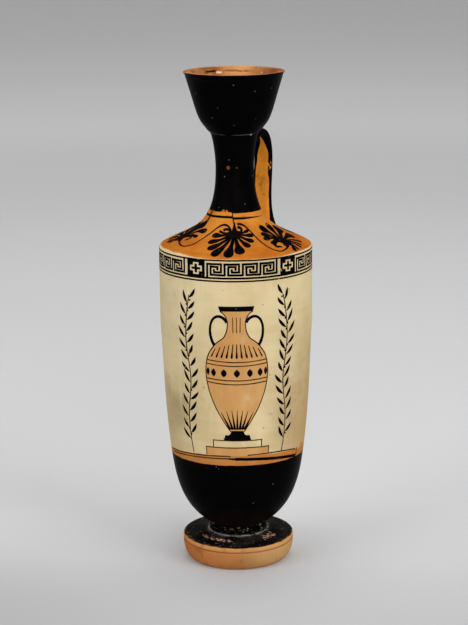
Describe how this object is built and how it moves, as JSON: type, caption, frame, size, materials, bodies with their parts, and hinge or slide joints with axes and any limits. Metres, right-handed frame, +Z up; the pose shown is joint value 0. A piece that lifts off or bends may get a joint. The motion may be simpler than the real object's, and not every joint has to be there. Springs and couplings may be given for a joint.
{
  "type": "lekythos",
  "caption": "Tall cylindrical clay oil flask with a flaring cup mouth, waisted neck, strap handle, sloping shoulder and disc foot, for storing and pouring oil.",
  "frame": {"origin": "centre of the foot's resting ring, on the surface the flask stands on", "axes": "+Z up along the flask's axis of turning, +Y towards the handle, +X to the right of the handle seen from the side opposite it"},
  "size_m": [0.0982, 0.0982, 0.32],
  "materials": {
    "black_gloss": "semi-gloss black slip, worn at edges",
    "orange_clay": "burnished orange clay, satin",
    "white_slip": "matt cream slip with painted ornament"
  },
  "bodies": {
    "root": {"foot": "orange_clay", "foot_fillet": "black_gloss", "body": "white_slip", "shoulder": "orange_clay", "neck_fillet": "orange_clay", "neck": "black_gloss", "mouth_fillet": "black_gloss", "mouth": "black_gloss", "handle": "black_gloss"}
  },
  "joints": []
}
